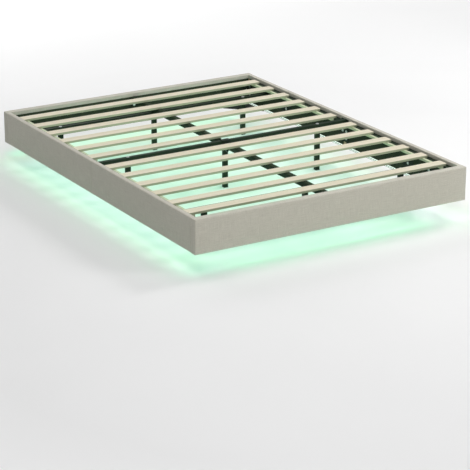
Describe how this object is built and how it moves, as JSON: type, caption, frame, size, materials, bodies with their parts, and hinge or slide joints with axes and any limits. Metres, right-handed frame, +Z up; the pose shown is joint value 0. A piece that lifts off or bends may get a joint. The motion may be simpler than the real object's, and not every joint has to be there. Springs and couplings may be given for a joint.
{
  "type": "floating bed",
  "caption": "Low upholstered platform bed frame on legs set back under it, with wooden slats on a steel frame and a light strip round the inside.",
  "frame": {"origin": "on the floor under the middle of the bed", "axes": "+X across the bed towards its right-hand side seen from the foot, +Y along it towards the head, +Z up"},
  "size_m": [1.6, 2.13, 0.275],
  "materials": {
    "linen_cover": "greige linen-look woven upholstery over thin foam",
    "rail_board": "raw board, hidden under the covers",
    "black_lining": "black non-woven lining",
    "pale_slat_wood": "planed pale softwood, unvarnished, eased edges",
    "batten_wood": "planed pale softwood",
    "black_steel": "fine textured black powder coat",
    "black_brackets": "satin black powder coat on pressed plate",
    "brown_felt": "dark brown self-adhesive felt",
    "black_plastic": "fine grained black plastic",
    "zinc_bolts": "bright zinc plating",
    "black_screws": "black oxide",
    "light_strip": "milky silicone over the light strip, glowing pale mint"
  },
  "bodies": {
    "root": {"head_rail_cover": "linen_cover", "foot_rail_cover": "linen_cover", "right_rear_rail_cover": "linen_cover", "left_rear_rail_cover": "linen_cover", "right_front_rail_cover": "linen_cover", "left_front_rail_cover": "linen_cover", "head_rail_core": "rail_board", "foot_rail_core": "rail_board", "right_rear_rail_core": "rail_board", "left_rear_rail_core": "rail_board", "right_front_rail_core": "rail_board", "left_front_rail_core": "rail_board", "head_rail_lining": "black_lining", "foot_rail_lining": "black_lining", "left_rail_linings": "black_lining", "right_rail_linings": "black_lining", "slat_01": "pale_slat_wood", "slat_02": "pale_slat_wood", "slat_03": "pale_slat_wood", "slat_04": "pale_slat_wood", "slat_05": "pale_slat_wood", "slat_06": "pale_slat_wood", "slat_07": "pale_slat_wood", "slat_08": "pale_slat_wood", "slat_09": "pale_slat_wood", "slat_10": "pale_slat_wood", "slat_11": "pale_slat_wood", "slat_12": "pale_slat_wood", "left_battens": "batten_wood", "right_battens": "batten_wood", "left_ledges": "black_steel", "right_ledges": "black_steel", "head_cross_tube": "black_steel", "middle_cross_tube": "black_steel", "foot_cross_tube": "black_steel", "rear_centre_beam": "black_steel", "front_centre_beam": "black_steel", "head_left_leg": "black_steel", "head_centre_leg": "black_steel", "head_right_leg": "black_steel", "middle_left_leg": "black_steel", "middle_centre_leg": "black_steel", "middle_right_leg": "black_steel", "foot_left_leg": "black_steel", "foot_centre_leg": "black_steel", "foot_right_leg": "black_steel", "corner_gussets": "black_brackets", "corner_angles": "black_brackets", "rail_plates": "black_brackets", "joint_hangers": "black_brackets", "cross_tube_hangers": "black_brackets", "beam_end_brackets": "black_brackets", "centre_saddle": "black_brackets", "beam_felt_strips": "brown_felt", "leg_glides": "black_plastic", "led_controller": "black_plastic", "rail_bolts": "zinc_bolts", "frame_bolts": "zinc_bolts", "rail_screws": "black_screws", "led_strips": "light_strip"}
  },
  "joints": []
}
